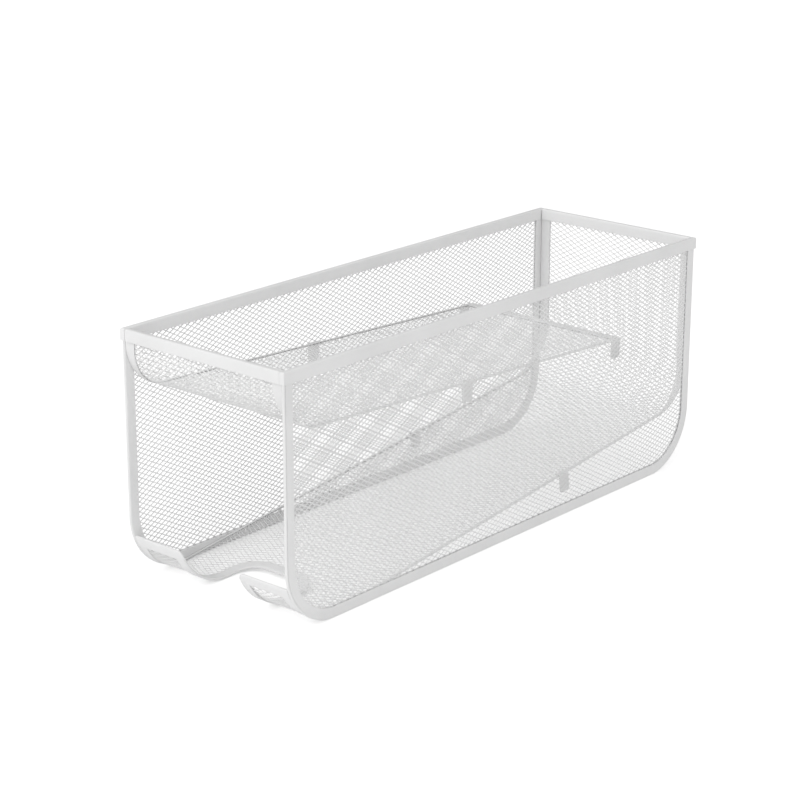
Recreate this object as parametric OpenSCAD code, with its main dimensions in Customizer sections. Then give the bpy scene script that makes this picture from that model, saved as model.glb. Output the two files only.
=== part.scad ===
// Open bin for drink cans, made of expanded steel mesh sheets with folded steel bindings.
// Upper cans stand on the shelf and drop behind it onto the sloped floor, which feeds the front.
// Axes: X across, Y from front (-) to back (+), Z up; origin at the middle of the base. Millimetres.

/* [Overall size] */
// Width over the two side rims
width = 140; // [110:1:200]
// Length from front rim to back rim
length = 424; // [300:1:500]
// Height to the top of the rims
height = 168; // [140:1:220]

/* [Rims] */
// Height of the inverted U channel round the top
rim_height = 8; // [5:0.5:14]
// Thickness of the channel, outer face to outer face
rim_thick = 4; // [3:0.1:8]
// Thickness of the channel's top wall
rim_roof = 1; // [0.5:0.1:2]

/* [Side panels] */
// Outer radius of the two lower corners
corner_radius = 43; // [20:1:60]
// Width of the strip folded over the panel's edge
band_width = 7.5; // [5:0.5:14]
// Thickness of the folded strip with the mesh inside it
band_thick = 2.2; // [1.4:0.1:4]
// Distance from the rims' end faces to the strip's outer edge
set_back = 0.8; // [0.4:0.1:2]

/* [Mesh sheets] */
// Thickness of each mesh sheet
mesh_thick = 0.8; // [0.4:0.1:1.5]
// Long pitch of the diamond gaps, eight and a half times the real mesh's
cell_long = 57.3; // [40:0.1:60]
// Short pitch of the diamond gaps, eight and a half times the real mesh's
cell_short = 30.6; // [20:0.1:34]
// Width of the strands between the gaps
strand = 3.2; // [2:0.1:9]

/* [Floor sheet] */
// Angle of the sloped floor, rising to the back
ramp_angle = 6.777; // [3:0.001:10]
// Radius of the bend between the back wall and the slope
rear_radius = 35; // [20:1:60]
// Radius of the front lip
lip_radius = 41.8; // [25:0.1:42.2]
// Height of the lip's top edge
lip_top = 30; // [15:1:38]

/* [Bindings of the bent sheets] */
// Width of the strip folded over a sheet's edge
fold_width = 8; // [5:0.5:12]
// Thickness of one wall of the fold
fold_wall = 0.4; // [0.3:0.1:0.8]

/* [Finger notch in the lip] */
// Width of the notch between its bound edges
notch_width = 49; // [30:1:80]
// Distance from the front to the notch's far end
notch_end = 60; // [50:1:80]
// Radius of the two corners at the notch's far end
notch_round = 14; // [6:1:24]
// Radius of the notch's two top corners
notch_corner = 5; // [2:0.5:8]
// Width of the strip folded round the notch
notch_fold = 7; // [5:0.5:10]

/* [Shelf] */
// Radius of the bend below the front rim
shelf_radius = 32; // [20:1:45]
// Straight length between the front rim and that bend
shelf_neck = 1.5; // [0.5:0.5:20]
// Angle of the shelf, falling to the back
shelf_angle = 2.849; // [1:0.001:6]
// Length of the straight part of the shelf
shelf_run = 308.8; // [200:0.1:340]

/* [Tabs] */
// Width of a tab
tab_width = 10; // [6:0.5:16]
// Height of a tab below the sheet
tab_drop = 12; // [8:0.5:20]
// Distance from the shelf's bend to the middle tabs
tab_mid = 139.5; // [80:0.5:200]
// Distance from the shelf's rear edge to the rear tabs
tab_rear = 3; // [0:0.5:20]
// Distance from the rear bend to the tabs of the slope
tab_ramp = 110; // [60:0.5:200]

/* [Hidden] */
// Smoothness of the bends
$fn = 96;
steel = [0.88, 0.88, 0.88];
mesh_steel = [0.8, 0.8, 0.8];

// Side panel planes
panel_x = (width - rim_thick) / 2;
panel_inner = panel_x - band_thick / 2;
rim_floor = height - rim_height;
slot_roof = height - rim_roof;
inner_radius = corner_radius - band_width;
band_wall = (band_thick - mesh_thick) / 2;
corner_y = set_back + corner_radius;

// Bent sheets: half thickness of a bare sheet and of a sheet in its fold
bare = mesh_thick / 2;
bound = bare + fold_wall;
sheet_half = panel_inner - fold_wall;
tongue_half = width / 2 - rim_thick - fold_wall;
fold_inner = panel_inner - fold_width;
rim_middle = rim_thick / 2;

// Floor sheet: the slope touches the rear bend and the lip, which share their upper side
rear_centre_y = length - rim_middle - rear_radius;
centre_gap = rear_centre_y - corner_y;
radius_gap = lip_radius - rear_radius;
rear_centre_z = corner_radius + (centre_gap * sin(ramp_angle) - radius_gap) / cos(ramp_angle);
ramp_run = centre_gap * cos(ramp_angle) + (rear_centre_z - corner_radius) * sin(ramp_angle);
lip_turn = 90 + ramp_angle - asin((corner_radius - lip_top) / lip_radius);
lip_trim = fold_wall / lip_radius * 180 / PI;
lip_fold_z = corner_radius - lip_radius * sin(asin((corner_radius - lip_top) / lip_radius)
    + fold_width / lip_radius * 180 / PI);

// Gaps: half diagonals of one diamond of a long pitch
function half_long(pitch) = pitch / 2 - strand / 2 / sin(atan(cell_short / pitch));
function half_short(pitch) = cell_short / 2 - strand / 2 / cos(atan(cell_short / pitch));

// Side panels: how far the gaps stay clear of the strip
gap_margin = 1;

// Bent sheets: the window between the strips holds whole pitches to each side of its middle
window = fold_inner - strand / 2;
window_pitches = max(1, round(window / cell_long));
window_pitch = window / window_pitches;
window_gap = half_short(window_pitch);

// How far a cut runs past the faces that it opens
past = 1;

// A path is a list of steps [radius, length or turn, drawn]: radius 0 is straight,
// a positive radius turns left, a negative one turns right.
function floor_path(trim) = [
  [0, rim_floor - rear_centre_z, 1],
  [-rear_radius, 90 - ramp_angle, 1],
  [0, ramp_run, 1],
  [-lip_radius, lip_turn - trim, 1]
];

function shelf_path(trim) = [
  [0, shelf_neck, 1],
  [shelf_radius, 90 - shelf_angle, 1],
  [0, shelf_run - trim, 1]
];

// Only a stretch of the shelf or the slope, from one distance along it to another
function shelf_stretch(from, to) = [
  [0, shelf_neck, 0],
  [shelf_radius, 90 - shelf_angle, 0],
  [0, from, 0],
  [0, to - from, 1]
];

function ramp_stretch(from, to) = [
  [0, rim_floor - rear_centre_z, 0],
  [-rear_radius, 90 - ramp_angle, 0],
  [0, from, 0],
  [0, to - from, 1]
];

// Length of one step, and the [y, z, heading] reached at a distance along a path
function span(step) = step[0] == 0 ? step[1] : abs(step[0]) * step[1] * PI / 180;

function along(path, far, from, i = 0) =
  far <= span(path[i]) || i == len(path) - 1
    ? advance(path[i][0], far, from)
    : along(path, far - span(path[i]), advance(path[i][0], span(path[i]), from), i + 1);

function advance(r, far, from) = r == 0
  ? [from[0] + far * cos(from[2]), from[1] + far * sin(from[2]), from[2]]
  : turned(r, from[2] + far / r * 180 / PI, from);

function turned(r, heading, from) = [
  from[0] - r * sin(from[2]) + r * sin(heading),
  from[1] + r * cos(from[2]) - r * cos(heading),
  heading
];

// One bend as a ring sector about the local origin, starting below it or above it
module bend(radius, turn, low, high) {
  side = sign(radius);
  middle = abs(radius);
  reach = middle * 2;
  intersection() {
    rotate(180)
      difference() {
        circle(middle + max(-side * low, -side * high));
        circle(middle + min(-side * low, -side * high));
      }
    translate([0, -reach])
      square([reach, reach * 2]);
    rotate(side * turn)
      translate([-reach, -reach])
        square([reach, reach * 2]);
  }
}

// The strip between two offsets from a path, each step drawn in the frame of the one before
module ribbon(path, low, high, i = 0) {
  if (i < len(path)) {
    radius = path[i][0];
    size = path[i][1];
    if (radius == 0) {
      if (path[i][2] == 1)
        translate([0, low])
          square([size, high - low]);
      translate([size, 0])
        ribbon(path, low, high, i + 1);
    } else {
      translate([0, radius]) {
        if (path[i][2] == 1)
          bend(radius, size, low, high);
        rotate(sign(radius) * size)
          translate([0, -radius])
            ribbon(path, low, high, i + 1);
      }
    }
  }
}

// Raises a profile drawn in the YZ plane to the part, between two X planes
module across(from, to) {
  translate([from, -length / 2, 0])
    rotate([90, 0, 90])
      linear_extrude(height = to - from)
        children();
}

module mirrored_x(side) {
  if (side < 0)
    mirror([1, 0, 0]) children();
  else
    children();
}

// Both bent sheets start at the underside of an end rim and head down
module from_back_rim() {
  translate([length - rim_middle, rim_floor])
    rotate(-90)
      children();
}

module from_front_rim() {
  translate([rim_middle, rim_floor])
    rotate(-90)
      children();
}

// Outline of a side panel, drawn in from its outer edge by a distance, up to a height
module panel_outline(inset, top) {
  radius = corner_radius - inset;
  low_y = set_back + inset;
  far_y = length - low_y;
  translate([low_y, corner_radius])
    square([far_y - low_y, top - corner_radius]);
  translate([corner_y, inset])
    square([length - 2 * corner_y, corner_radius]);
  translate([corner_y, corner_radius])
    circle(radius);
  translate([length - corner_y, corner_radius])
    circle(radius);
}

module diamond(pitch) {
  wide = half_long(pitch);
  high = half_short(pitch);
  polygon([[-wide, 0], [0, -high], [wide, 0], [0, high]]);
}

module half_diamond(pitch, side) {
  high = half_short(pitch);
  polygon([[0, -high], [side * half_long(pitch), 0], [0, high]]);
}

// True where a whole gap fits inside the side binding's inner outline
function gap_fits(y, z) =
  let (low = band_width + gap_margin, wide = half_long(cell_long), high = half_short(cell_long),
    dy = max(0, max(corner_y - y, y - length + corner_y)), dz = max(0, corner_radius - z))
  y - wide > set_back + low && y + wide < length - set_back - low
    && z - high > low && z + high < rim_floor - gap_margin
    && (dy * dz == 0 || norm([dy + wide / 2, dz + high / 2]) < inner_radius - gap_margin);

// True where a gap's middle is inside that outline, beside its upright stretches, and one end isn't
function half_fits(y, z) =
  let (low = set_back + band_width + gap_margin, wide = half_long(cell_long),
    high = half_short(cell_long))
  y > low && y < length - low && (y - wide < low || y + wide > length - low)
    && z - high > corner_radius && z + high < rim_floor - gap_margin;

module side_mesh() {
  rows = ceil(rim_floor / cell_short);
  columns = ceil(length / cell_long);
  color(mesh_steel)
    across(panel_x - bare, panel_x + bare)
      difference() {
        panel_outline(band_wall, slot_roof);
        for (row = [-rows : rows])
          for (column = [-columns : columns])
            if ((row + column) % 2 == 0) {
              y = (length + column * cell_long) / 2;
              z = (rim_floor + band_width + row * cell_short) / 2;
              if (gap_fits(y, z))
                translate([y, z])
                  diamond(cell_long);
              else if (half_fits(y, z))
                translate([y, z])
                  half_diamond(cell_long, sign(length / 2 - y));
            }
      }
}

module side_binding() {
  color(steel)
    difference() {
      across(panel_inner, panel_inner + band_thick)
        difference() {
          panel_outline(0, slot_roof);
          panel_outline(band_width, slot_roof + past);
        }
      across(panel_x - bare, panel_x + bare)
        panel_outline(band_wall, slot_roof + past);
    }
}

module side_rim() {
  color(steel)
    difference() {
      translate([width / 2 - rim_thick, -length / 2, rim_floor])
        cube([rim_thick, length, rim_height]);
      translate([panel_inner, set_back - length / 2, rim_floor - past])
        cube([band_thick, length - 2 * set_back, slot_roof - rim_floor + past]);
    }
}

module end_rim(from) {
  half = width / 2 - rim_thick;
  wall = (rim_thick - band_thick) / 2;
  color(steel)
    difference() {
      translate([-half, from - length / 2, rim_floor])
        cube([half * 2, rim_thick, rim_height]);
      translate([-half - past, from + wall - length / 2, rim_floor - past])
        cube([(half + past) * 2, band_thick, slot_roof - rim_floor + past]);
    }
}

module rim_front() {
  end_rim(0);
}

module rim_back() {
  end_rim(length - rim_thick);
}

// Plan of the notch, wider by a distance all round
module notch_plan(more) {
  half = notch_width / 2 + more;
  inner = notch_width / 2 - notch_round;
  centre = notch_end - notch_round;
  translate([0, -length / 2, -past])
    linear_extrude(height = lip_top + 2 * past) {
      translate([-half, -past])
        square([half * 2, centre + past]);
      translate([-inner, centre])
        square([inner * 2, notch_round + more]);
      for (x = [-inner, inner])
        translate([x, centre])
          circle(notch_round + more);
    }
}

// What the notch's two top corners lose, the rounding drawn in by a distance
module corner_cuts(inset) {
  for (side = [-1, 1])
    mirrored_x(side)
      translate([notch_width / 2, (corner_y - length) / 2, lip_top - notch_corner])
        rotate([90, 0, 0])
          linear_extrude(height = corner_y / 2 + past)
            difference() {
              translate([-past, 0])
                square(notch_corner + past);
              translate([notch_corner, 0])
                circle(notch_corner - inset);
            }
}

// The floor sheet without its gaps: narrower where it enters the back rim
module floor_blank() {
  difference() {
    union() {
      across(-sheet_half, sheet_half)
        from_back_rim() ribbon(floor_path(lip_trim), -bare, bare);
      across(-tongue_half, tongue_half)
        translate([length - rim_middle - bare, rim_floor])
          square([mesh_thick, slot_roof - rim_floor]);
    }
    notch_plan(fold_wall);
    corner_cuts(fold_wall);
  }
}

// Cuts a drawn shape square through a bent sheet at a place on its path
module cut_through(spot) {
  translate([0, spot[0] - length / 2, spot[1]])
    rotate([spot[2], 0, 0])
      linear_extrude(height = cell_short, center = true)
        children();
}

// A row across a bent sheet: whole gaps, in every other row with a half one at each end
module gap_row(row, spot) {
  last = window_pitches - (row % 2 == 0 ? 1 : 0.5);
  cut_through(spot) {
    for (pitches = [-last : last])
      translate([pitches * window_pitch, 0])
        diamond(window_pitch);
    if (row % 2 == 0)
      for (side = [-1, 1])
        translate([-side * window, 0])
          half_diamond(window_pitch, side);
  }
}

module floor_sheet() {
  path = floor_path(0);
  start = [length - rim_middle, rim_floor, -90];
  ramp_from = span(path[0]) + span(path[1]);
  ramp_to = ramp_from + ramp_run - (notch_end + notch_fold - corner_y);
  window_from = window_gap + strand;
  rows = floor((ramp_to - window_from - window_gap) / (cell_short / 2));
  lip_from = ramp_from + ramp_run;
  lip_start = notch_width / 2 + notch_fold;
  color(mesh_steel)
    difference() {
      floor_blank();
      for (row = [0 : rows])
        gap_row(row, along(path, window_from + row * cell_short / 2, start));
      cut_through(along(path, lip_from + cell_short, start))
        for (side = [-1, 1])
          translate([side * (fold_inner + lip_start) / 2, 0])
            scale((fold_inner - lip_start - strand) / 2 / half_long(cell_long))
              diamond(cell_long);
    }
}

module floor_binding() {
  color(steel)
    difference() {
      across(fold_inner, panel_inner)
        from_back_rim() ribbon(floor_path(0), -bound, bound);
      floor_blank();
    }
}

module lip_binding() {
  color(steel)
    difference() {
      intersection() {
        across(-fold_inner, fold_inner)
          from_back_rim() ribbon(floor_path(0), -bound, bound);
        union() {
          notch_plan(notch_fold);
          translate([-width / 2, -length / 2, lip_fold_z])
            cube([width, corner_radius, lip_top - lip_fold_z + past]);
        }
      }
      floor_blank();
      notch_plan(0);
      corner_cuts(0);
    }
}

// The shelf without its gaps: narrower where it enters the front rim
module shelf_blank() {
  union() {
    across(-sheet_half, sheet_half)
      from_front_rim() ribbon(shelf_path(fold_wall), -bare, bare);
    across(-tongue_half, tongue_half)
      translate([rim_middle - bare, rim_floor])
        square([mesh_thick, slot_roof - rim_floor]);
  }
}

module shelf_sheet() {
  path = shelf_path(0);
  start = [rim_middle, rim_floor, -90];
  window_from = shelf_neck + window_gap + strand * 2;
  reach = span(path[0]) + span(path[1]) + shelf_run - fold_width - strand / 2;
  rows = floor((reach - window_from - window_gap) / (cell_short / 2));
  color(mesh_steel)
    difference() {
      shelf_blank();
      for (row = [0 : rows])
        gap_row(row, along(path, window_from + row * cell_short / 2, start));
    }
}

module shelf_binding() {
  color(steel)
    difference() {
      across(fold_inner, panel_inner)
        from_front_rim() ribbon(shelf_path(0), -bound, bound);
      shelf_blank();
    }
}

module shelf_rear_binding() {
  color(steel)
    difference() {
      across(-fold_inner, fold_inner)
        from_front_rim()
          ribbon(shelf_stretch(shelf_run - fold_width, shelf_run), -bound, bound);
      shelf_blank();
    }
}

// A tab beside the shelf, flat against the side mesh
module shelf_tab(from) {
  color(steel)
    across(panel_inner, panel_x - bare)
      from_front_rim()
        ribbon(shelf_stretch(from, from + tab_width), -bound - tab_drop, bound);
}

module shelf_tab_mid() {
  shelf_tab(tab_mid - tab_width / 2);
}

module shelf_tab_rear() {
  shelf_tab(shelf_run - tab_rear - tab_width);
}

module ramp_tab() {
  color(steel)
    across(panel_inner, panel_x - bare)
      from_back_rim()
        ribbon(ramp_stretch(tab_ramp, tab_ramp + tab_width), -bound, bound + tab_drop);
}

module side_mesh_left() {
  mirrored_x(-1) side_mesh();
}

module side_mesh_right() {
  side_mesh();
}

module side_binding_left() {
  mirrored_x(-1) side_binding();
}

module side_binding_right() {
  side_binding();
}

module rim_left() {
  mirrored_x(-1) side_rim();
}

module rim_right() {
  side_rim();
}

module floor_binding_left() {
  mirrored_x(-1) floor_binding();
}

module floor_binding_right() {
  floor_binding();
}

module shelf_binding_left() {
  mirrored_x(-1) shelf_binding();
}

module shelf_binding_right() {
  shelf_binding();
}

module shelf_tab_mid_left() {
  mirrored_x(-1) shelf_tab_mid();
}

module shelf_tab_mid_right() {
  shelf_tab_mid();
}

module shelf_tab_rear_left() {
  mirrored_x(-1) shelf_tab_rear();
}

module shelf_tab_rear_right() {
  shelf_tab_rear();
}

module ramp_tab_left() {
  mirrored_x(-1) ramp_tab();
}

module ramp_tab_right() {
  ramp_tab();
}

side_mesh_left();
side_mesh_right();
side_binding_left();
side_binding_right();
rim_left();
rim_right();
rim_front();
rim_back();
floor_sheet();
floor_binding_left();
floor_binding_right();
lip_binding();
shelf_sheet();
shelf_binding_left();
shelf_binding_right();
shelf_rear_binding();
shelf_tab_mid_left();
shelf_tab_mid_right();
shelf_tab_rear_left();
shelf_tab_rear_right();
ramp_tab_left();
ramp_tab_right();
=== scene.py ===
"""Looks of a fridge can organizer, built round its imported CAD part.

The organizer is a narrow, open-topped bin of white powder-coated expanded steel. Two flat side
panels, a bent floor sheet with a notched lip and a bent shelf above it all have folded strips
on their free edges, and an inverted channel runs round the top. Every piece is drawn here in
millimetres, with X across, Y measured from the front and Z up, and is turned into metres about
the frame's origin when its mesh is made.
"""

import sys

import logging
import math
from dataclasses import dataclass, field
from enum import Enum
from typing import Callable, Sequence

import bmesh
import bpy
import numpy as np
from bpy.types import Material, Node, NodeSocket, NodeTree, Object
from mathutils import Matrix, Vector

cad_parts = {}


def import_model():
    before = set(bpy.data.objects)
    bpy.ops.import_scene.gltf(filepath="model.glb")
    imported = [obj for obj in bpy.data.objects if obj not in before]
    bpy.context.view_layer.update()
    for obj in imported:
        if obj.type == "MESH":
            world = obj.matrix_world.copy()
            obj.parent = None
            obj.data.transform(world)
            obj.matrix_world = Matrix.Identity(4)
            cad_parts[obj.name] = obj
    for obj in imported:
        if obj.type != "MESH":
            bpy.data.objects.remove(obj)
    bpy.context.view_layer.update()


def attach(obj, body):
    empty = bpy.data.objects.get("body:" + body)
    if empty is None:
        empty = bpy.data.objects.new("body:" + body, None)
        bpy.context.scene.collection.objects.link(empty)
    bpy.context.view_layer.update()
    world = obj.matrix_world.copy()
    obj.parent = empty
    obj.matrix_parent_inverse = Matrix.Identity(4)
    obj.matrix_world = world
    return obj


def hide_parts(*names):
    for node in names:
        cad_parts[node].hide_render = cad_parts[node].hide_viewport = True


Array = np.ndarray
LOG = logging.getLogger("can_organizer")
MILLIMETRE = 0.001
# Faces that meet at more than this many degrees keep a sharp edge between them
SHARP = 38.0


class Side(Enum):
    """The bin's two long sides, by the sign of X."""

    LEFT = -1
    RIGHT = 1

    @property
    def suffix(self) -> str:
        """Returns: The ending of the node names on this side."""
        return self.name.lower()


class End(Enum):
    """The bin's two short ends."""

    FRONT = "front"
    BACK = "back"


class Slot(Enum):
    """The record's material slots."""

    MESH = "mesh"
    BINDING = "binding"


@dataclass(frozen=True)
class BinSize:
    """The part's dimensions, in millimetres and degrees.

    All are those of its CAD source but weave_thick, the thickness of the real sheets where
    they lie in their strips.
    """

    width: float = 140.0
    length: float = 424.0
    height: float = 168.0
    rim_height: float = 8.0
    rim_thick: float = 4.0
    rim_roof: float = 1.0
    corner_radius: float = 43.0
    band_width: float = 7.5
    band_thick: float = 2.2
    set_back: float = 0.8
    mesh_thick: float = 0.8
    weave_thick: float = 0.5
    ramp_angle: float = 6.777
    rear_radius: float = 35.0
    lip_radius: float = 41.8
    lip_top: float = 30.0
    fold_width: float = 8.0
    fold_wall: float = 0.4
    notch_width: float = 49.0
    notch_end: float = 60.0
    notch_round: float = 14.0
    notch_corner: float = 5.0
    shelf_radius: float = 32.0
    shelf_centre: float = 158.5
    shelf_angle: float = 2.849
    shelf_run: float = 308.8
    tab_width: float = 10.0
    tab_drop: float = 12.0
    tab_mid: float = 139.5
    tab_rear: float = 3.0
    tab_ramp: float = 110.0

    @property
    def panel_x(self) -> float:
        """Returns: The distance of a side panel's middle plane from the middle of the bin."""
        return (self.width - self.rim_thick) / 2

    @property
    def rim_floor(self) -> float:
        """Returns: The height of the rims' lower edges."""
        return self.height - self.rim_height

    @property
    def slot_roof(self) -> float:
        """Returns: The height of the ceiling inside the rims."""
        return self.height - self.rim_roof

    @property
    def bound(self) -> float:
        """Returns: Half the thickness of a bent sheet where a strip is folded over it."""
        return self.weave_thick / 2 + self.fold_wall

    @property
    def corner_y(self) -> float:
        """Returns: The distance of a side panel's corner centre from the front."""
        return self.set_back + self.corner_radius


@dataclass(frozen=True)
class Weave:
    """The pattern of an expanded sheet, in millimetres.

    Attributes:
        long: Pitch of the diamonds along their long diagonal.
        short: Pitch along their short diagonal.
        strand: Width of the steel between two gaps.
        gauge: Thickness of the steel.
        louvre: How far a gap's upper corner stands out of the sheet's middle plane.
        blunt: Half the width of a gap's blunt ends.
        shoulder: Share of the louvre that the corners of a blunt end have.
    """

    long: float
    short: float
    strand: float = 0.55
    gauge: float = 0.28
    louvre: float = 0.08
    blunt: float = 0.13
    shoulder: float = 0.3


def linear(code: str) -> tuple[float, float, float, float]:
    """Turns an sRGB colour code into linear values.

    Args:
        code: Six hexadecimal digits after a hash sign.

    Returns:
        Red, green, blue and an alpha of one.
    """
    values = [int(code[i:i + 2], 16) / 255 for i in (1, 3, 5)]
    flat = [v / 12.92 if v <= 0.04045 else ((v + 0.055) / 1.055) ** 2.4 for v in values]
    return (flat[0], flat[1], flat[2], 1.0)


def add_node(tree: NodeTree, kind: str, place: tuple[int, int],
             values: dict[str | int, object] | None = None,
             links: dict[str | int, NodeSocket] | None = None, **settings: object) -> Node:
    """Adds one shader node with its settings and links.

    Args:
        tree: The node tree that takes it.
        kind: The node's type name after its ShaderNode.
        place: Its column and row in the editor.
        values: Values of its inputs, by their name or number.
        links: Outputs of other nodes, by the input that takes them.
        settings: The node's own properties.

    Returns:
        The new node.
    """
    node = tree.nodes.new(f"ShaderNode{kind}")
    node.location = (place[0] * 220, -place[1] * 220)
    for name, value in settings.items():
        setattr(node, name, value)
    for name, value in (values or {}).items():
        node.inputs[name].default_value = value
    for name, output in (links or {}).items():
        tree.links.new(output, node.inputs[name])
    return node


@dataclass(frozen=True)
class PowderCoat:
    """A satin powder coat on steel, with sizes in millimetres.

    Attributes:
        light: Colour where the coat is thickest.
        shade: Colour where it is thinnest.
        roughness: Its lowest and highest roughness.
        peel: Size of the orange-peel dimples.
        depth: Their depth.
        strength: How strongly they bend the light.
        drift: Size of the slow changes of tone.
        speck: Size of the fine specks.
        fine: Share of the specks in the tone, the rest being slow changes.
        tones: Noise values at which the colour is the shade and the light one.
        glosses: Noise values at which the roughness is the lowest and the highest.
    """

    name: str
    light: str
    shade: str
    roughness: tuple[float, float] = (0.28, 0.36)
    peel: float = 2.4
    depth: float = 0.05
    strength: float = 0.6
    drift: float = 38.0
    speck: float = 0.7
    fine: float = 0.25
    tones: tuple[float, float] = (0.3, 0.62)
    glosses: tuple[float, float] = (0.3, 0.7)

    def material(self) -> Material:
        """Builds the material: slow tone changes, fine specks, varied gloss and orange peel.

        Returns:
            The new node-based material.
        """
        material = bpy.data.materials.new(self.name)
        material.use_nodes = True
        tree = material.node_tree
        tree.nodes.clear()
        where = add_node(tree, "TexCoord", (0, 1)).outputs["Object"]
        noises = [
            add_node(tree, "TexNoise", (1, row),
                     {"Scale": 1 / (grain * MILLIMETRE), "Detail": detail, "Roughness": rough},
                     {"Vector": where}).outputs["Fac"]
            for row, (grain, detail, rough) in enumerate((
                (self.drift, 3.0, 0.55), (self.speck, 2.0, 0.6), (self.peel, 2.0, 0.5)))]
        slow, speck, peel = noises
        weak = add_node(tree, "Math", (2, 1), {1: self.fine}, {0: speck},
                        operation="MULTIPLY")
        blend = add_node(tree, "Math", (2, 0), {1: 1 - self.fine},
                         {0: slow, 2: weak.outputs[0]}, operation="MULTIPLY_ADD")
        tone = add_node(tree, "ValToRGB", (3, 0), links={"Fac": blend.outputs[0]})
        for stop, spot, code in zip(tone.color_ramp.elements, self.tones,
                                    (self.shade, self.light)):
            stop.position = spot
            stop.color = linear(code)
        gloss = add_node(tree, "MapRange", (3, 1),
                         {"From Min": self.glosses[0], "From Max": self.glosses[1],
                          "To Min": self.roughness[0], "To Max": self.roughness[1]},
                         {"Value": slow})
        bump = add_node(tree, "Bump", (3, 2),
                        {"Strength": self.strength, "Distance": self.depth * MILLIMETRE},
                        {"Height": peel})
        shader = add_node(tree, "BsdfPrincipled", (4, 0),
                          {"IOR": 1.5, "Specular IOR Level": 0.45},
                          {"Base Color": tone.outputs["Color"],
                           "Roughness": gloss.outputs["Result"],
                           "Normal": bump.outputs["Normal"]})
        add_node(tree, "OutputMaterial", (5, 0), links={"Surface": shader.outputs["BSDF"]})
        return material


STRIP_COAT = PowderCoat("powder_coated_steel_strip", "#f1f1f1", "#ebebeb")
SHEET_COAT = PowderCoat("powder_coated_expanded_steel", "#f1f1f1", "#eaeaea",
                        roughness=(0.36, 0.46), peel=1.6, depth=0.03)


class BentPath:
    """A bent sheet's middle line in the YZ plane, made of straight runs and round bends."""

    def __init__(self, start: tuple[float, float, float],
                 steps: Sequence[tuple[float, float]]) -> None:
        """Works out where each step of the line begins.

        Args:
            start: Y, Z and heading in degrees of the line's first point.
            steps: Pairs of a radius and a size. A radius of zero is a straight run of that
                length; any other radius is a bend by that many degrees, to the left of the
                heading where it is positive.
        """
        self.radii = np.array([step[0] for step in steps])
        sizes = np.array([step[1] for step in steps])
        bends = self.radii != 0
        spans = np.where(bends, np.abs(self.radii) * np.radians(sizes), sizes)
        self.edges = np.concatenate(([0.0], np.cumsum(spans)))
        corners = [(start[0], start[1], math.radians(start[2]))]
        for radius, span in zip(self.radii, spans):
            corners.append(self._advance(radius, span, corners[-1]))
        self.corners = np.array(corners)

    @staticmethod
    def _advance(radius: Array, far: Array, start: Sequence[Array]) -> tuple[Array, Array, Array]:
        """Moves along steps of the line from their beginnings.

        On a bend of radius r the heading h grows by distance / r, and the point is the bend's
        centre plus r * (sin h, -cos h); on a run it is the run's start plus distance *
        (cos h, sin h).

        Args:
            radius: Radius of each step, zero for a straight run.
            far: Distance along each.
            start: Y, Z and heading of each beginning.

        Returns:
            Y, Z and heading in radians of each point.
        """
        y, z, heading = start
        straight = radius == 0
        turned = heading + np.where(straight, 0.0, far / np.where(straight, 1.0, radius))
        new_y = y + np.where(straight, far * np.cos(heading),
                             radius * (np.sin(turned) - np.sin(heading)))
        new_z = z + np.where(straight, far * np.sin(heading),
                             radius * (np.cos(heading) - np.cos(turned)))
        return new_y, new_z, turned

    def at(self, far: Array) -> tuple[Array, Array, Array]:
        """Finds points on the line.

        Args:
            far: Distances along the line; negative ones lie before its start.

        Returns:
            Y, Z and heading in radians of each point.
        """
        step = np.clip(np.searchsorted(self.edges, far, side="right") - 1, 0, len(self.radii) - 1)
        start = np.moveaxis(self.corners[step], -1, 0)
        return self._advance(self.radii[step], far - self.edges[step], start)

    def lift(self, across: Array, far: Array, out: Array) -> Array:
        """Raises flat sheet coordinates to the bent sheet.

        The point lies at its distance along the line, and then off it by the outward distance
        times the line's normal (-sin h, cos h).

        Args:
            across: X of each point.
            far: Its distance along the line.
            out: Its distance off the line, along the normal.

        Returns:
            An array of X, Y and Z.
        """
        across, far, out = np.broadcast_arrays(across, far, out)
        y, z, heading = self.at(far)
        return np.stack((across, y - out * np.sin(heading), z + out * np.cos(heading)), axis=-1)

    def stations(self, start: float, end: float, run: float, bend: float) -> Array:
        """Picks distances along the line, close together on its bends.

        Args:
            start: First distance.
            end: Last distance.
            run: Longest step on a straight run.
            bend: Longest step on a bend.

        Returns:
            The distances, in rising order.
        """
        near = 0.01
        inner = self.edges[(self.edges > start + near) & (self.edges < end - near)]
        marks = np.concatenate(([start], inner, [end]))
        parts = []
        for low, high in zip(marks[:-1], marks[1:]):
            step = np.clip(np.searchsorted(self.edges, (low + high) / 2) - 1, 0,
                           len(self.radii) - 1)
            size = run if self.radii[step] == 0 else bend
            count = max(1, math.ceil((high - low) / size))
            parts.append(np.linspace(low, high, count, endpoint=False))
        return np.concatenate(parts + [[end]])


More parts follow.
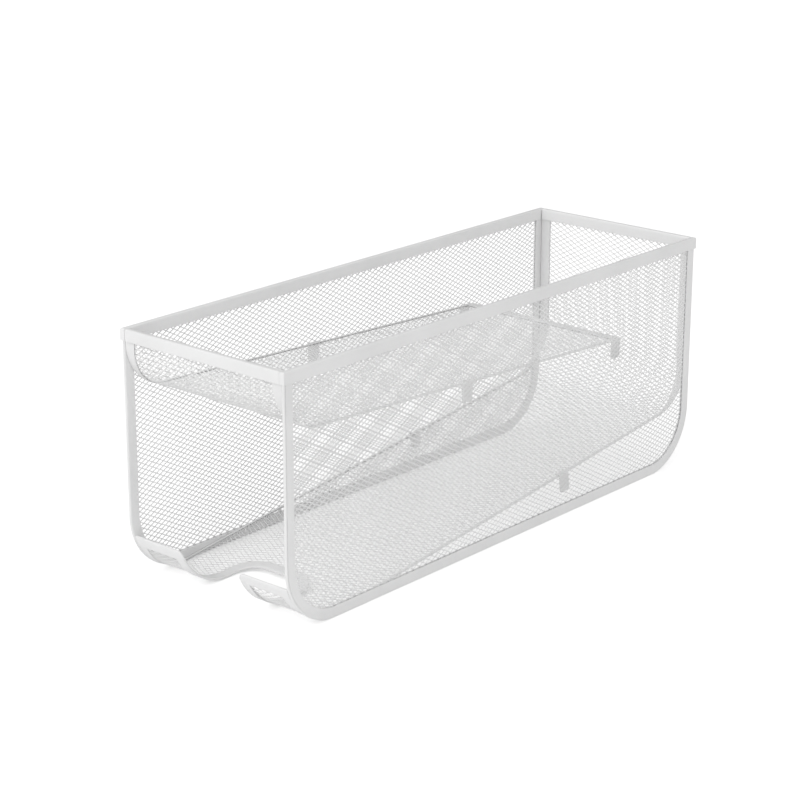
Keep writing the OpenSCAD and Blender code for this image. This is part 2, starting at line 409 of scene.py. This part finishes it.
@dataclass
class Shell:
    """The skin of one piece.

    Attributes:
        points: Rows of X, Y and Z in millimetres.
        faces: The indices of each face's points.
    """

    points: Array
    faces: list[list[int]]

    @classmethod
    def tube(cls, rows: Array) -> "Shell":
        """Draws a closed skin through a stack of loops, with a flat face over each end.

        Args:
            rows: An array of loops by points by three.

        Returns:
            The skin.
        """
        stack, around = rows.shape[:2]
        index = np.arange(stack * around).reshape(stack, around)
        after = np.roll(index, -1, axis=1)
        quads = np.stack((index[:-1], after[:-1], after[1:], index[1:]), axis=-1)
        ends = [index[0][::-1].tolist(), index[-1].tolist()]
        return cls(rows.reshape(-1, 3), quads.reshape(-1, 4).tolist() + ends)

    def piece(self, node: str, material: Material, slot: Slot) -> Object:
        """Makes the object that stands for one CAD node, in metres about the frame's origin.

        Args:
            node: The node's name. The object's is the same with look_ before it.
            material: Its finish.
            slot: The record's material slot; not used.

        Returns:
            The new object.
        """
        points = self.points - np.array([0.0, BinSize.length / 2, 0.0])
        name = f"look_{node}"
        mesh = bpy.data.meshes.new(name)
        mesh.from_pydata((points * MILLIMETRE).tolist(), [], self.faces)
        work = bmesh.new()
        work.from_mesh(mesh)
        bmesh.ops.recalc_face_normals(work, faces=work.faces)
        work.to_mesh(mesh)
        work.free()
        mesh.shade_smooth()
        mesh.set_sharp_from_angle(angle=math.radians(SHARP))
        mesh.materials.append(material)
        piece = bpy.data.objects.new(name, mesh)
        bpy.context.scene.collection.objects.link(piece)
        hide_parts(node)
        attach(piece, "root")
        return piece


def arc(first: float, last: float, count: int) -> Array:
    """Returns: Evenly spaced points (cos a, sin a) of the unit circle, with a in degrees."""
    turn = np.radians(np.linspace(first, last, count))
    return np.column_stack((np.cos(turn), np.sin(turn)))


def fold_profile(depth: float, half: float, slot: float, nose: float,
                 crease: float = 0.0) -> Array:
    """Draws the section of a strip folded in two over a sheet's edge.

    The nose is half an ellipse: depth = nose * (1 - cos a), height = half * sin a, with a
    from -90 to 90 degrees. The two walls run in from it, and the sheet lies between them.

    Args:
        depth: Width of the folded strip.
        half: Half its thickness.
        slot: Half the thickness of the space for the sheet.
        nose: How deep the rounding of the fold is.
        crease: Width of the groove pressed into the upper wall behind the nose, or zero.

    Returns:
        A closed loop of depth and height pairs.
    """
    edge = 0.12
    fold = np.array([nose, 0]) + arc(-90, 90, 11) * np.array([-nose, half])
    # The groove is 1.35 times as deep as it is wide, and its sides lean in by 0.15 of its width
    floor, lean = half - 1.35 * crease, 0.15 * crease
    groove = [(nose + lean, floor), (nose + crease - lean, floor), (nose + crease, half)]
    upper = [(depth - edge, half), (depth, half - edge), (depth, slot)]
    if crease:
        upper = groove + upper
    inner = [(nose, slot), (nose, -slot)]
    lower = [(depth, -slot), (depth, edge - half), (depth - edge, -half)]
    return np.concatenate((fold, upper, inner, lower))


def expanded_sheet(weave: Weave, reach: tuple[float, float, float, float],
                   keep: Callable[[Array, Array], Array],
                   place: Callable[[Array, Array, Array], Array]) -> Shell:
    """Draws an expanded steel sheet: one ring of four tilted strands round each gap.

    Cells sit where column + row is even, at column * long / 2 and row * short / 2. A cell is
    a diamond, its corners shared with its neighbours, with a six-cornered gap inside. The
    gap's upper corner stands out of the sheet by the louvre and its lower corner stands in by
    as much, so that each strand between two gaps is tilted.

    Args:
        weave: The pattern.
        reach: Lowest and highest distance along the long, then the short diagonal.
        keep: Tells which cells are there, from the places of their middles.
        place: Turns flat places and distances off the sheet into points in the bin.

    Returns:
        The sheet's skin.
    """
    half_long, half_short = weave.long / 2, weave.short / 2
    columns = np.arange(math.floor(reach[0] / half_long), math.ceil(reach[1] / half_long) + 1)
    rows = np.arange(math.floor(reach[2] / half_short), math.ceil(reach[3] / half_short) + 1)
    column, row = (part.ravel() for part in np.meshgrid(columns, rows))
    even = (column + row) % 2 == 0
    column, row = column[even], row[even]
    there = keep(column * half_long, row * half_short)
    column, row = column[there], row[there]
    cells = len(column)
    slope = math.atan2(weave.short, weave.long)
    gap_long = half_long - weave.strand / 2 / math.sin(slope)
    gap_short = half_short - weave.strand / 2 / math.cos(slope)
    shoulder = gap_long * (1 - weave.blunt / gap_short)

    # Shared corners, right, upper, left and lower of each cell
    steps = np.array([(1, 0), (0, 1), (-1, 0), (0, -1)])
    corner = np.stack((column[:, None] + steps[:, 0], row[:, None] + steps[:, 1]), axis=-1)
    lattice, outer = np.unique(corner.reshape(-1, 2), axis=0, return_inverse=True)
    outer = outer.reshape(cells, 4)
    half = weave.gauge / 2
    tops = np.array([half, -half])
    flat = np.broadcast_to(lattice[:, None, :], (len(lattice), 2, 2))
    rim = place(flat[..., 0] * half_long, flat[..., 1] * half_short, tops).reshape(-1, 3)
    outer_top, outer_low = outer * 2, outer * 2 + 1

    # Corners of the gap, from its blunt right end round to the left
    blunt, share = weave.blunt, weave.shoulder
    shape = np.array([
        (shoulder, blunt, share), (0, gap_short, 1), (-shoulder, blunt, share),
        (-shoulder, -blunt, -share), (0, -gap_short, -1), (shoulder, -blunt, -share)])
    long_at = (column * half_long)[:, None, None] + shape[None, :, 0, None] + 0 * tops
    short_at = (row * half_short)[:, None, None] + shape[None, :, 1, None] + 0 * tops
    lift_at = weave.louvre * shape[None, :, 2, None] + tops + 0 * long_at
    gaps = place(long_at, short_at, lift_at).reshape(-1, 3)
    inner_top = len(rim) + np.arange(cells * 6).reshape(cells, 6) * 2
    inner_low = inner_top + 1

    strands = [(0, 1, 1, 0), (1, 2, 2, 1), (2, 3, 4, 3), (3, 0, 5, 4)]
    quads, ends = [], []
    for outer_ids, inner_ids, turn in ((outer_top, inner_top, 1), (outer_low, inner_low, -1)):
        for a, b, c, d in strands:
            face = (outer_ids[:, a], outer_ids[:, b], inner_ids[:, c], inner_ids[:, d])
            quads.append(np.stack(face[::turn], axis=-1))
        for a, b, c in ((2, 2, 3), (0, 5, 0)):
            face = (outer_ids[:, a], inner_ids[:, b], inner_ids[:, c])
            ends.append(np.stack(face[::-turn], axis=-1))
    after_top, after_low = np.roll(inner_top, -1, axis=1), np.roll(inner_low, -1, axis=1)
    quads.append(np.stack((inner_top, after_top, after_low, inner_low), axis=-1).reshape(-1, 4))

    # Walls along the sheet's outer boundary, where a corner pair has only one cell
    pair = np.stack((outer, np.roll(outer, -1, axis=1)), axis=-1).reshape(-1, 2)
    _, where, times = np.unique(np.sort(pair, axis=1), axis=0, return_index=True,
                                return_counts=True)
    here, after = pair[where[times == 1]].T * 2
    quads.append(np.stack((after, here, here + 1, after + 1), axis=-1))
    faces = np.concatenate(quads).tolist() + np.concatenate(ends).tolist()
    return Shell(np.concatenate((rim, gaps)), faces)


def rounded_rectangle(half_x: float, half_y: float, radius: float) -> Array:
    """Draws a rectangle with round corners about the origin.

    Args:
        half_x: Half its size along X.
        half_y: Half its size along Y.
        radius: Radius of its corners.

    Returns:
        A closed loop of X and Y pairs, counter-clockwise.
    """
    loops = []
    for start, x, y in ((0, 1, 1), (90, -1, 1), (180, -1, -1), (270, 1, -1)):
        centre = np.array([x * (half_x - radius), y * (half_y - radius)])
        loops.append(arc(start, start + 90, 5) * radius + centre)
    return np.concatenate(loops)


@dataclass
class Rims:
    """The inverted channels round the top: two side rims and two end rims between them.

    Attributes:
        edge: Radius of the rounding along the channels' tops.
        least: Smallest radius of an outer corner on the rounded top, where it starts to grow.
        growth: How much it grows there for each millimetre that the loop is drawn in.
        cap: Thickness of the wall that closes an end rim's slot.
        seam: Width of the gap at the left of an end rim.
        tight: Width of the gap at its right.
    """

    size: BinSize
    coat: Material
    edge: float = 1.1
    hem: float = 0.15
    slot_round: float = 0.1
    corner: float = 0.35
    least: float = 0.05
    growth: float = 0.6
    cap: float = 0.3
    seam: float = 0.42
    tight: float = 0.02

    def _channel(self, half_x: float, half_y: float, middle: tuple[float, float],
                 slot_x: float, slot_y: float) -> Shell:
        """Stacks the loops of one channel, from the ceiling of its slot round to its top.

        On the rounded top a loop is drawn in by edge * (1 - cos a) and lies edge * sin a above
        the rounding's start, with a from 0 to 90 degrees.

        Args:
            half_x: Half its size along X.
            half_y: Half its size along Y.
            middle: X and Y of its middle.
            slot_x: Half the slot's size along X.
            slot_y: Half the slot's size along Y.

        Returns:
            The channel's skin.
        """
        low, hem = self.size.rim_floor, self.hem
        levels = [
            (slot_x, slot_y, self.slot_round, self.size.slot_roof),
            (slot_x, slot_y, self.slot_round, low + hem),
            (slot_x + hem, slot_y + hem, self.slot_round, low),
            (half_x - hem, half_y - hem, self.corner - self.least, low),
            (half_x, half_y, self.corner, low + hem)]
        for turn in np.radians(np.linspace(0, 90, 6)):
            drawn = self.edge * (1 - math.cos(turn))
            radius = max(self.corner - drawn, self.least) + drawn * self.growth
            levels.append((half_x - drawn, half_y - drawn, radius,
                           self.size.height - self.edge + self.edge * math.sin(turn)))
        loops = []
        for wide, deep, radius, z in levels:
            loop = rounded_rectangle(wide, deep, radius) + np.array(middle)
            loops.append(np.column_stack((loop, np.full(len(loop), z))))
        return Shell.tube(np.stack(loops))

    def build(self) -> list[Object]:
        """Makes the four channels.

        Returns:
            The new pieces.
        """
        size = self.size
        half, slot, middle_y = size.rim_thick / 2, size.band_thick / 2, size.length / 2
        pieces = []
        for side in Side:
            shell = self._channel(half, middle_y, (side.value * size.panel_x, middle_y),
                                  slot, middle_y - size.set_back)
            pieces.append(shell.piece(f"rim_{side.suffix}", self.coat, Slot.BINDING))
        reach = size.width / 2 - size.rim_thick - (self.seam + self.tight) / 2
        for end in End:
            middle = ((self.seam - self.tight) / 2,
                      half if end is End.FRONT else size.length - half)
            shell = self._channel(reach, half, middle, reach - self.cap, slot)
            pieces.append(shell.piece(f"rim_{end.value}", self.coat, Slot.BINDING))
        return pieces


@dataclass
class SidePanel:
    """One side of the bin: a flat expanded sheet and the strip folded over its edge.

    Attributes:
        slot: Half the space between the strip's walls.
        nose: Depth of the strip's rounded fold.
        crease: Width of the groove behind the fold, at the strip's front end.
        tuck: How far the strip's ends reach up into the rim.
        inset: Distance from the panel's edge to the nearest cell's middle.
        drop: Distance from the rim's ceiling to the highest cell's middle.
    """

    size: BinSize
    side: Side
    strip: Material
    sheet: Material
    weave: Weave = Weave(long=6.2, short=3.4, strand=0.64, louvre=-0.1)
    slot: float = 0.38
    nose: float = 0.95
    crease: float = 0.46
    tuck: float = 3.0
    inset: float = 4.2
    drop: float = 4.4

    def _outline(self, depth: float) -> Array:
        """Draws the panel's edge, drawn in by a depth, from the front top to the rear top.

        Each lower corner is a quarter circle of the corner radius less the depth.

        Args:
            depth: Distance in from the panel's outer edge.

        Returns:
            Rows of Y and Z.
        """
        size = self.size
        top = size.rim_floor + self.tuck
        quarter = arc(180, 270, 25) * (size.corner_radius - depth)
        front = quarter + np.array([size.corner_y, size.corner_radius])
        rear = front[::-1] * np.array([-1, 1]) + np.array([size.length, 0])
        start = np.array([[size.set_back + depth, top]])
        finish = np.array([[size.length - size.set_back - depth, top]])
        return np.concatenate((start, front, rear, finish))

    def _place(self, along: Array, up: Array, out: Array) -> Array:
        """Puts flat panel coordinates into the bin, outward being away from its middle."""
        along, up, out = np.broadcast_arrays(along, up, out)
        return np.stack((self.side.value * (self.size.panel_x + out), along, up), axis=-1)

    def _inside(self, along: Array, up: Array) -> Array:
        """Tells which cells lie within the panel, their ragged edge hidden by the strip.

        The distance in from the rounded outline is that of the straight edges, or the corner
        radius less the distance from the corner's centre where the cell is in a corner.
        """
        size = self.size
        beyond_y = np.maximum(size.corner_y - along, along - size.length + size.corner_y)
        beyond_z = size.corner_radius - up
        reach = np.hypot(np.maximum(beyond_y, 0), np.maximum(beyond_z, 0))
        return (reach < size.corner_radius - self.inset) & (up < size.slot_roof - self.drop)

    def _strip(self) -> Shell:
        """Makes the strip, whose groove fades out round the front corner.

        The groove's depth is multiplied by the square of a share, which falls evenly with Y
        from one at the strip's front to zero above the corner's centre.

        Returns:
            The strip's skin.
        """
        size = self.size
        half = size.band_thick / 2
        profile = fold_profile(size.band_width, half, self.slot, self.nose, self.crease)
        loops = []
        for depth, out in profile:
            line = self._outline(depth)
            left = np.interp(line[:, 0], (size.set_back, size.corner_y), (1.0, 0.0)) ** 2
            if self.nose < depth < self.nose + self.crease:
                out = half - (half - out) * left
            loops.append(self._place(*line.T, out))
        return Shell.tube(np.stack(loops, axis=1))

    def build(self) -> list[Object]:
        """Makes the strip and the sheet.

        Returns:
            The new pieces.
        """
        size, suffix = self.size, self.side.suffix
        sheet = expanded_sheet(self.weave, (0, size.length, 0, size.height), self._inside,
                               self._place)
        return [self._strip().piece(f"side_binding_{suffix}", self.strip, Slot.BINDING),
                sheet.piece(f"side_mesh_{suffix}", self.sheet, Slot.MESH)]


@dataclass
class BentSheet:
    """A bent expanded sheet between the side panels, with strips folded over its long edges.

    Attributes:
        outer: Distance of the long strips' outer edges from the middle of the bin.
        narrow: Width of the long strips on the sheet's long slope.
        slot: Half the space between a strip's walls.
        nose: Depth of the long strips' rounded fold.
        steps: The long strips' longest steps on a straight run and on a bend.
        first: Distance along the sheet past which its cells start, inside the rim.
        inset: Distance from a long edge to the nearest cell's middle.
        end_inset: Distance from the free edge to the nearest cell's middle.
    """

    size: BinSize
    strip: Material
    sheet: Material
    weave: Weave = Weave(long=6.54, short=3.52)
    outer: float = 66.75
    narrow: float = 2.0
    slot: float = 0.25
    nose: float = 0.7
    start: float = 0.02
    steps: tuple[float, float] = (24.0, 1.6)
    first: float = -6.0
    inset: float = 3.7
    end_inset: float = 2.4
    path: BentPath = field(init=False)
    end: float = field(init=False)

    def _long_strips(self, name: str, marks: Sequence[tuple[float, float]]) -> list[Object]:
        """Makes the two strips folded over the sheet's long edges.

        They are wide on the sheet's upright parts and narrow on its long slope. Between two
        marks the width changes evenly with the distance along the sheet.

        Args:
            name: The strips' node name without its side.
            marks: Pairs of a distance along the sheet and the strips' width there.

        Returns:
            The new pieces.
        """
        size = self.size
        far = self.path.stations(self.start, self.end, *self.steps)
        profile = fold_profile(size.fold_width, size.bound, self.slot, self.nose)
        width = np.interp(far, *np.array(marks).T)
        share = (width - self.nose) / (size.fold_width - self.nose)
        wall = np.maximum(profile[:, 0] - self.nose, 0)
        depth = np.minimum(profile[:, 0], self.nose)[None, :] + share[:, None] * wall[None, :]
        pieces = []
        for side in Side:
            shell = Shell.tube(self.path.lift(side.value * (self.outer - depth),
                                              far[:, None], profile[None, :, 1]))
            pieces.append(shell.piece(f"{name}_{side.suffix}", self.strip, Slot.BINDING))
        return pieces

    def _inside(self, across: Array, far: Array) -> Array:
        """Tells which cells are part of the sheet, their ragged edge hidden by the strips."""
        return ((np.abs(across) < self.outer - self.inset) & (far > self.first)
                & (far < self.end - self.end_inset))

    def _expanded(self, name: str) -> Object:
        """Makes the sheet itself, from inside the rim to its free edge.

        Args:
            name: Its node name.

        Returns:
            The new piece.
        """
        shell = expanded_sheet(self.weave, (-self.outer, self.outer, self.first, self.end),
                               self._inside, self.path.lift)
        return shell.piece(name, self.sheet, Slot.MESH)


@dataclass
class Floor(BentSheet):
    """The back wall, the sloped floor and the notched front lip, bent from one sheet.

    Attributes:
        lip_gap: Gap between the lip strip's ends and the long strips' outer edges.
        notch_inset: Distance from the notch to the nearest cell's middle.
        counts: Numbers of points along the lip's top, round the notch's top corner, down its
            side and round its far corner.
        notch: Distance along the sheet of the notch's far end.
    """

    lip_depth: float = 7.5
    lip_half: float = 0.92
    lip_nose: float = 0.75
    lip_gap: float = 0.2
    least: float = 0.04
    notch_inset: float = 3.9
    counts: tuple[int, int, int, int] = (8, 9, 43, 13)
    notch: float = field(init=False)

    def __post_init__(self) -> None:
        """Works out the sheet's middle line, whose slope touches both of its bends."""
        size = self.size
        slope = math.radians(size.ramp_angle)
        centre_y = size.length - size.rim_thick / 2 - size.rear_radius
        gap = centre_y - size.corner_y
        centre_z = size.corner_radius + (
            gap * math.sin(slope) - (size.lip_radius - size.rear_radius)) / math.cos(slope)
        run = gap * math.cos(slope) + (centre_z - size.corner_radius) * math.sin(slope)
        lip_turn = 90 + size.ramp_angle - math.degrees(
            math.asin((size.corner_radius - size.lip_top) / size.lip_radius))
        self.path = BentPath(
            (size.length - size.rim_thick / 2, size.rim_floor, -90.0),
            [(0, size.rim_floor - centre_z), (-size.rear_radius, 90 - size.ramp_angle),
             (0, run), (-size.lip_radius, lip_turn)])
        self.end = self.path.edges[-1]
        self.notch = self.path.edges[3] - (
            size.notch_end - size.corner_y) / math.cos(slope)

    def _edge(self, depth: float) -> Array:
        """Draws the left half of the lip's free edge, drawn in by a depth.

        It runs along the lip's top edge, round the notch's top corner, down the notch's side,
        round its far corner and across to the middle. The top corner's radius shrinks with
        the depth to a mitre, and the far corner's radius grows with it.

        Args:
            depth: Distance from the free edge into the sheet.

        Returns:
            Rows of distance across and distance along the sheet.
        """
        size = self.size
        on_top, on_corner, on_side, on_bend = self.counts
        half = size.notch_width / 2
        mitre = max(size.notch_corner, depth)
        radius = max(size.notch_corner - depth, self.least)
        corner = arc(90, 0, on_corner) * radius + np.array([-half - mitre, self.end - mitre])
        start = np.linspace(self.lip_gap - self.outer, corner[0, 0], on_top, endpoint=False)
        top = np.column_stack((start, np.full(on_top, self.end - depth)))
        far_z = self.notch + size.notch_round
        rows = np.linspace(corner[-1, 1], far_z, on_side + 1, endpoint=False)[1:]
        side = np.column_stack((np.full(on_side, -half - depth), rows))
        bend = (arc(180, 270, on_bend) * (size.notch_round + depth)
                + np.array([size.notch_round - half, far_z]))
        return np.concatenate((top, corner, side, bend))

    def _lip_strip(self) -> Object:
        """Makes the strip folded over the lip's top edge and round the notch.

        Returns:
            The new piece.
        """
        profile = fold_profile(self.lip_depth, self.lip_half, self.slot, self.lip_nose)
        loops = []
        for depth, out in profile:
            left = self._edge(depth)
            whole = np.concatenate((left, left[::-1] * np.array([-1, 1])))
            loops.append(self.path.lift(whole[:, 0], whole[:, 1], out))
        shell = Shell.tube(np.stack(loops, axis=1))
        return shell.piece("lip_binding", self.strip, Slot.BINDING)

    def _inside(self, across: Array, far: Array) -> Array:
        """Tells which cells are part of the sheet and outside the notch.

        The notch is the region within a rectangle with two round far corners: a cell's
        distance from it is that from the nearest of the corners' centres, or the plain one.
        """
        size = self.size
        inner = size.notch_width / 2 - size.notch_round
        beyond = np.maximum(np.abs(across) - inner, 0)
        before = np.maximum(self.notch + size.notch_round - far, 0)
        outside = np.hypot(beyond, before) > size.notch_round + self.notch_inset
        return super()._inside(across, far) & outside

    def build(self) -> list[Object]:
        """Makes the sheet and its strips.

        Returns:
            The new pieces.
        """
        wall, rear, ramp, lip = self.path.edges[1:5]
        wide = self.size.fold_width
        strips = self._long_strips("floor_binding", (
            (wall, wide), (rear, self.narrow), (ramp, self.narrow), (lip, wide)))
        return strips + [self._lip_strip(), self._expanded("floor_sheet")]


@dataclass
class Shelf(BentSheet):
    """The shelf that comes down from the front rim and falls gently to the rear."""

    proud: float = 0.06
    rear_nose: float = 0.75
    rear_gap: float = 0.25
    rear_count: int = 15

    def __post_init__(self) -> None:
        """Works out the sheet's middle line."""
        size = self.size
        self.path = BentPath(
            (size.rim_thick / 2, size.rim_floor, -90.0),
            [(0, size.rim_floor - size.shelf_centre), (size.shelf_radius, 90 - size.shelf_angle),
             (0, size.shelf_run)])
        self.end = self.path.edges[-1]

    def _rear_strip(self) -> Object:
        """Makes the strip folded over the rear edge, between the two long strips.

        Returns:
            The new piece.
        """
        size = self.size
        profile = fold_profile(size.fold_width, size.bound + self.proud, self.slot,
                               self.rear_nose)
        reach = self.outer - self.rear_gap
        across = np.linspace(-reach, reach, self.rear_count)
        shell = Shell.tube(self.path.lift(across[:, None], self.end - profile[None, :, 0],
                                          profile[None, :, 1]))
        return shell.piece("shelf_rear_binding", self.strip, Slot.BINDING)

    def build(self) -> list[Object]:
        """Makes the sheet and its strips.

        Returns:
            The new pieces.
        """
        neck, bend = self.path.edges[1:3]
        strips = self._long_strips("shelf_binding", (
            (neck, self.size.fold_width), (bend, self.narrow)))
        return strips + [self._rear_strip(), self._expanded("shelf_sheet")]


@dataclass
class Tab:
    """One ear bent over a sheet's long strip and lying flat on the side mesh.

    Attributes:
        path: The middle line of the sheet that carries it.
        node: Its node name without its side.
        start: Distance along the line of its first edge.
        upward: One where the line's normal points up, minus one where it points down.
        reach: How far it runs in over the strip.
        tip: Least distance from its end that counts for the corners.
    """

    size: BinSize
    coat: Material
    path: BentPath
    node: str
    side: Side
    start: float
    upward: int
    plate: float = 0.55
    round: float = 2.5
    gap: float = 0.02
    reach: float = 3.6
    bend: float = 0.7
    tip: float = 0.02

    def _line(self) -> Array:
        """Draws the ear's middle line: in over the strip, round a small bend and down.

        Returns:
            Rows of distance across and height above the sheet.
        """
        size, bend = self.size, self.bend
        outer = size.panel_x - size.mesh_thick / 2 - self.gap - self.plate / 2
        above = size.bound + self.plate / 2
        flat = np.column_stack((np.linspace(outer - self.reach, outer - bend, 4),
                                np.full(4, above)))
        knee = arc(90, 0, 6)[1:] * bend + np.array([outer - bend, above - bend])
        # Shares of the way down, close together where the corners round off
        crowd = 0.8
        close = 1 - (1 - np.linspace(crowd, 1, 9)) ** 2 / (1 - crowd)
        shares = np.concatenate((np.linspace(0.2, 0.78, 4), close))
        fall = above - bend + size.bound + size.tab_drop
        plate = np.column_stack((np.full(len(shares), outer), above - bend - fall * shares))
        return np.concatenate((flat, knee, plate))

    def build(self) -> list[Object]:
        """Makes the ear.

        Near its end the ear narrows by r - sqrt(r * r - (r - d) * (r - d)), d being the
        distance from the end and r the radius of its corners.

        Returns:
            The new piece, in a list.
        """
        size = self.size
        line = self._line()
        ahead = np.gradient(line, axis=0)
        ahead /= np.linalg.norm(ahead, axis=1)[:, None]
        normal = np.column_stack((ahead[:, 1], -ahead[:, 0])) * self.plate / 2
        left = np.maximum(line[:, 1] + size.bound + size.tab_drop, self.tip)
        short = np.maximum(self.round - left, 0)
        inset = self.round - np.sqrt(np.maximum(self.round ** 2 - short ** 2, 0))
        half = size.tab_width / 2 - inset
        middle = self.start + size.tab_width / 2
        rows = []
        for sign_far, sign_out in ((-1, 1), (1, 1), (1, -1), (-1, -1)):
            spot = line + sign_out * normal
            rows.append(self.path.lift(self.side.value * spot[:, 0],
                                       middle + sign_far * half, self.upward * spot[:, 1]))
        shell = Shell.tube(np.stack(rows, axis=1))
        return [shell.piece(f"{self.node}_{self.side.suffix}", self.coat, Slot.BINDING)]


@dataclass
class Camera:
    """The photograph's viewpoint: angles in degrees, places in metres, lens in millimetres."""

    azimuth: float = 40.945
    elevation: float = 18.309
    roll: float = 0.098
    place: tuple[float, float, float] = (0.94632, -1.11954, 0.56866)
    lens: float = 102.91
    sensor: float = 36.0
    reach: float = 50.0

    def build(self) -> None:
        """Makes the scene's camera by three turns from a view straight down."""
        turns = ((self.azimuth, "Z"), (90 - self.elevation, "X"), (self.roll, "Z"))
        pose = Matrix.Translation(self.place)
        for angle, axis in turns:
            pose = pose @ Matrix.Rotation(math.radians(angle), 4, axis)
        data = bpy.data.cameras.new("camera")
        data.lens = self.lens
        data.sensor_width = self.sensor
        data.clip_end = self.reach
        camera = bpy.data.objects.new("camera", data)
        camera.matrix_world = pose
        bpy.context.scene.collection.objects.link(camera)
        bpy.context.scene.camera = camera


@dataclass
class Studio:
    """A plain white floor and background with soft light, in metres and watts.

    Attributes:
        lift: Strength of the floor's glow for the camera.
        bright_way: Direction of the brightest side of the surroundings.
        faint: Their strength on the far side from that.
        bright: Their strength on the brightest side.
        box_place: Place of the one soft light.
        box_target: The point that it faces.
    """

    floor_half: float = 4.0
    paper: str = "#fafafa"
    lift: float = 0.35
    bright_way: tuple[float, float, float] = (0.3, -0.75, 0.6)
    faint: float = 0.04
    bright: float = 1.09
    box_place: tuple[float, float, float] = (-0.6, -1.7, 1.4)
    box_target: tuple[float, float, float] = (0.0, 0.0, 0.08)
    box_size: float = 1.5
    box_power: float = 6.5

    def _floor(self) -> None:
        """Makes the floor, which glows a little for the camera so that it reads as white."""
        half = self.floor_half
        mesh = bpy.data.meshes.new("studio_floor")
        corners = [(-half, -half, 0), (half, -half, 0), (half, half, 0), (-half, half, 0)]
        mesh.from_pydata(corners, [], [(0, 1, 2, 3)])
        floor = bpy.data.objects.new("studio_floor", mesh)
        bpy.context.scene.collection.objects.link(floor)
        material = bpy.data.materials.new("studio_paper")
        material.use_nodes = True
        tree = material.node_tree
        tree.nodes.clear()
        paper = add_node(tree, "BsdfPrincipled", (0, 0),
                         {"Base Color": linear(self.paper), "Roughness": 0.9,
                          "Specular IOR Level": 0.0}).outputs["BSDF"]
        glow = add_node(tree, "Emission", (0, 2), {"Strength": self.lift})
        both = add_node(tree, "AddShader", (1, 0),
                        links={0: paper, 1: glow.outputs["Emission"]})
        ray = add_node(tree, "LightPath", (1, 2))
        choose = add_node(tree, "MixShader", (2, 0),
                          links={"Fac": ray.outputs["Is Camera Ray"], 1: paper,
                                 2: both.outputs["Shader"]})
        add_node(tree, "OutputMaterial", (3, 0), links={"Surface": choose.outputs["Shader"]})
        mesh.materials.append(material)

    def _world(self) -> None:
        """Makes the white surroundings.

        They are full white to the camera. As a light they grow evenly from faint behind and
        below to bright in front and above, by the cosine of the angle to the brightest side.
        """
        world = bpy.data.worlds.new("studio_world")
        world.use_nodes = True
        tree = world.node_tree
        tree.nodes.clear()
        way = add_node(tree, "TexCoord", (-3, 0))
        cosine = add_node(tree, "VectorMath", (-2, 0), {1: self.bright_way},
                          {0: way.outputs["Generated"]}, operation="DOT_PRODUCT")
        power = add_node(tree, "MapRange", (-1, 0),
                         {"From Min": -1.0, "From Max": 1.0,
                          "To Min": self.faint, "To Max": self.bright},
                         {"Value": cosine.outputs["Value"]})
        white = {"Color": (1, 1, 1, 1), "Strength": 1.0}
        soft = add_node(tree, "Background", (0, 0), white,
                        {"Strength": power.outputs["Result"]})
        plain = add_node(tree, "Background", (0, 1), white)
        ray = add_node(tree, "LightPath", (0, 2))
        choose = add_node(tree, "MixShader", (1, 0),
                          links={"Fac": ray.outputs["Is Camera Ray"],
                                 1: soft.outputs["Background"], 2: plain.outputs["Background"]})
        add_node(tree, "OutputWorld", (2, 0), links={"Surface": choose.outputs["Shader"]})
        bpy.context.scene.world = world

    def _softbox(self) -> None:
        """Makes the soft light in front and aims it."""
        data = bpy.data.lights.new("front_softbox", "AREA")
        data.shape = "SQUARE"
        data.size = self.box_size
        data.energy = self.box_power
        lamp = bpy.data.objects.new("front_softbox", data)
        aim = Vector(self.box_target) - Vector(self.box_place)
        lamp.rotation_mode = "QUATERNION"
        lamp.rotation_quaternion = aim.to_track_quat("-Z", "Y")
        lamp.location = self.box_place
        bpy.context.scene.collection.objects.link(lamp)

    def build(self) -> None:
        """Makes the floor, the surroundings and the light."""
        self._floor()
        self._world()
        self._softbox()
        bpy.context.scene.view_settings.view_transform = "Standard"
        LOG.info("studio: floor, surroundings and one softbox")


def report(pieces: Sequence[Object]) -> None:
    """Notes each piece of a sub-assembly in the log, with its triangles.

    Args:
        pieces: The pieces that it has made.
    """
    for piece in pieces:
        mesh = piece.data
        LOG.info("%s: %d triangles", piece.name, len(mesh.loops) - 2 * len(mesh.polygons))


def main() -> None:
    """Builds every piece, the studio and the camera."""
    logging.basicConfig(level=logging.INFO, format="%(name)s: %(message)s", stream=sys.stdout)
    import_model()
    size = BinSize()
    strip, sheet = STRIP_COAT.material(), SHEET_COAT.material()
    report(Rims(size, strip).build())
    for side in Side:
        report(SidePanel(size, side, strip, sheet).build())
    floor = Floor(size, strip, sheet)
    report(floor.build())
    shelf = Shelf(size, strip, sheet)
    report(shelf.build())
    run, slope = shelf.path.edges[2], floor.path.edges[2]
    for side in Side:
        for path, node, start, upward in (
                (shelf.path, "shelf_tab_mid", run + size.tab_mid - size.tab_width / 2, 1),
                (shelf.path, "shelf_tab_rear",
                 run + size.shelf_run - size.tab_rear - size.tab_width, 1),
                (floor.path, "ramp_tab", slope + size.tab_ramp, -1)):
            report(Tab(size, strip, path, node, side, start, upward).build())
    Studio().build()
    Camera().build()


if __name__ == "__main__":
    main()
